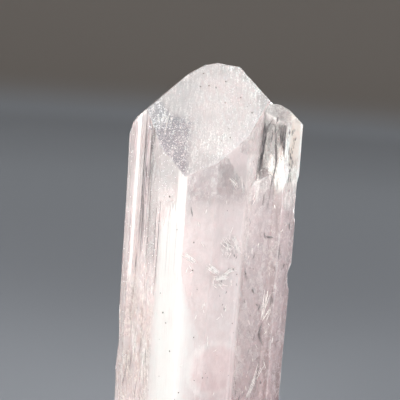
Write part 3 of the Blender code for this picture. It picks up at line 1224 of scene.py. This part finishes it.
# %% Black specks
SPECKS = [
    (-1.9, 40.1), (-1.8, 36.3), (-1.0, 33.7), (-1.0, 27.1), (-0.5, 21.1), (0.6, 21.4), (-2.5, 19.5),
    (-4.1, 25.0), (-4.9, 28.7), (-5.4, 30.0), (5.6, 35.3), (6.7, 29.3), (4.2, 28.5), (7.4, 19.5),
    (10.7, 25.0), (-2.3, 62.4), (-1.4, 60.8), (-2.6, 60.6), (1.0, 58.7), (3.1, 59.5), (0.9, 61.5),
    (-0.4, 60.6), (4.8, 57.6), (2.0, 54.2), (0.8, 53.7), (-5.6, 45.9), (10.2, 38.2),
]
speck_spots = [(*surface_at(FRONT, x, z)[0], luck.uniform(0.07, 0.13)) for x, z in SPECKS]
for side in (FRONT, BACK, LEFT, RIGHT):
    speck_spots += scattered(luck, side, 30, (-10, 10), (2, 62), (0.04, 0.08), lambda *spot: True)
black_specks = grains_in_surface("black_specks", speck_spots)
ORE_BLACK = (0.03, 0.025, 0.03)
ORE_BROWN = (0.12, 0.09, 0.08)
ore = Stone("dark_mineral")
ore_mottle = ore.clouds(ore.place, 8.0, 2)
ore_black = ore.blend(ore_mottle, ORE_BLACK, ORE_BROWN)
cover(black_specks, ore.finish(ore.principled(Base_Color=ore_black, Roughness=0.45)))

# %% [markdown]
# ## Floor, backdrop and lights
#
# A product photographer stands a small thing on a sheet of paper that curves up behind it. Ours
# curves up all round, because the crystal is looked at from every side. We start from a circle, fill
# it for the floor, and extrude its rim outwards and upwards in small steps along a quarter round.

# %% Raise a round backdrop
FLOOR_RADIUS = 0.9
SWEEP_RADIUS = 0.3
SWEEP_STEPS = 12
WALL_HEIGHT = 0.9
RIM_CORNERS = 128
bpy.ops.object.select_all(action="DESELECT")
bpy.ops.mesh.primitive_circle_add(
    vertices=RIM_CORNERS, radius=FLOOR_RADIUS, fill_type="NOTHING"
)
floor = bpy.context.object
floor.name = "floor"
bpy.ops.object.mode_set(mode="EDIT")
bpy.ops.mesh.edge_face_add()
bpy.ops.mesh.select_mode(type="EDGE")
reach, climb = FLOOR_RADIUS, 0.0
for step in range(1, SWEEP_STEPS + 2):
    angle = math.radians(90) * min(step, SWEEP_STEPS) / SWEEP_STEPS
    wider = FLOOR_RADIUS + SWEEP_RADIUS * math.sin(angle)
    higher = SWEEP_RADIUS * (1 - math.cos(angle)) + (WALL_HEIGHT if step > SWEEP_STEPS else 0)
    bpy.ops.mesh.extrude_edges_move(TRANSFORM_OT_translate={"value": (0, 0, higher - climb)})
    bpy.ops.transform.resize(value=(wider / reach, wider / reach, 1), center_override=(0, 0, 0))
    reach, climb = wider, higher
bpy.ops.mesh.select_all(action="SELECT")
bpy.ops.mesh.normals_make_consistent(inside=True)
bpy.ops.object.mode_set(mode="OBJECT")
bpy.ops.object.shade_smooth()
print("the paper is", round(2 * reach, 1), "m across and", climb, "m high")

# %% Paint the paper: cool grey that brightens away from the crystal, warm grey up the wall
NEAR_GREY = (0.344, 0.370, 0.410)
FAR_GREY = (0.545, 0.594, 0.649)
WALL_GREY = (0.392, 0.358, 0.325)
paper = Finish("pale_paper")
far = paper.vector("LENGTH", paper.place, out="Value")
# Painted light: the paper is painted darker near the crystal, where the lamps light it most, and
# lighter further out, where their light has fallen off.
paper_colour = paper.blend(far.rise(150, 560), NEAR_GREY, FAR_GREY)
paper_colour = paper.blend(far.rise(950, 1035), paper_colour, WALL_GREY)
cover(floor, paper.finish(paper.principled(Base_Color=paper_colour, Roughness=0.7)))

# %% [markdown]
# The light in the photograph comes from the left front, which whitens the stripe on the left front
# face. A low card at the left mirrors in that same face. A broad soft light at the right front keeps
# the other faces from going dark, and one overhead gives the roof its sheen. The last two stand
# behind, at the left and right, so that the back is bright too when the crystal is turned. A grid
# narrows each of their beams, which keeps them off the paper that the camera sees.

# %% Hang the softboxes
MIDDLE = Vector((0, 0, 40)) * MM
ROOM_GREY = (0.34, 0.34, 0.35, 1)


def softbox(name, place, width, height, watts, colour=(1, 1, 1), beam=180):
    """A soft rectangular light at this place, turned towards the middle of the crystal."""
    bpy.ops.object.light_add(type="AREA", location=place)
    lamp = bpy.context.object
    lamp.name = name
    lamp.data.shape = "RECTANGLE"
    lamp.data.size = width
    lamp.data.size_y = height
    lamp.data.energy = watts
    lamp.data.color = colour
    lamp.data.spread = math.radians(beam)
    lamp.rotation_mode = "QUATERNION"
    lamp.rotation_quaternion = (MIDDLE - Vector(place)).to_track_quat("-Z", "Y")
    lamp.visible_camera = False
    return lamp


softbox("left_front_softbox", (-0.234, -0.334, 0.14), 0.2, 0.2, 1.62, (1, 0.98, 0.94))
softbox("left_card", (-0.3, 0.02, 0.03), 0.12, 0.3, 0.34)
softbox("right_front_softbox", (0.35, -0.27, 0.07), 0.45, 0.45, 2.5)
softbox("overhead_softbox", (0, 0.05, 0.45), 0.4, 0.4, 0.15)
softbox("back_left_softbox", (-0.38, 0.32, 0.12), 0.16, 0.16, 0.032, beam=24)
softbox("back_right_softbox", (0.38, 0.32, 0.12), 0.16, 0.16, 0.032, beam=24)
bpy.ops.world.new()
world = bpy.data.worlds[-1]
world.name = "room"
world.use_nodes = True
world.node_tree.nodes["Background"].inputs["Color"].default_value = ROOM_GREY
bpy.context.scene.world = world
bpy.context.scene.view_settings.view_transform = "Standard"
